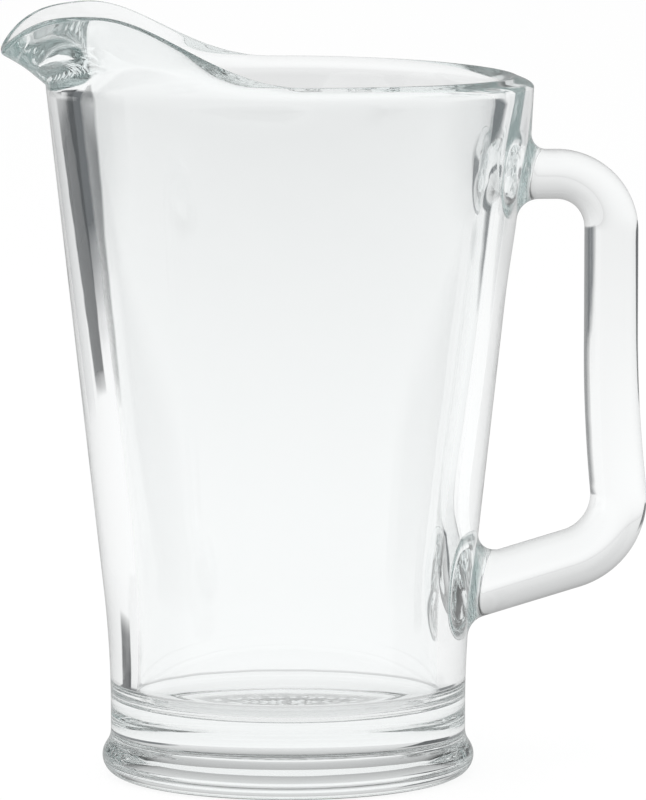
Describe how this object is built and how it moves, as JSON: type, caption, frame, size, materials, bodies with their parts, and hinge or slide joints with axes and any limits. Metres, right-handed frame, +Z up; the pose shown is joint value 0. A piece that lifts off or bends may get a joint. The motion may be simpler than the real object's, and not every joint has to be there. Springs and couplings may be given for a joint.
{
  "type": "beer pitcher",
  "caption": "Clear pressed-glass beer pitcher with a tapered bowl, a rising pouring lip, a thick base, a flared foot and a fused side handle.",
  "frame": {"origin": "on the vessel's axis, at the table that the foot stands on", "axes": "+Z up along the vessel's axis, +X towards the handle, -X towards the pouring lip"},
  "size_m": [0.1974, 0.1472, 0.2348],
  "materials": {
    "glass": "clear pressed soda-lime glass, fire polished, with a faint green tint in thick sections"
  },
  "bodies": {
    "root": {"bowl": "glass", "rim_ring": "glass", "pouring_lip": "glass", "base_block": "glass", "foot_ring": "glass", "handle": "glass", "upper_handle_weld": "glass", "lower_handle_weld": "glass"}
  },
  "joints": []
}
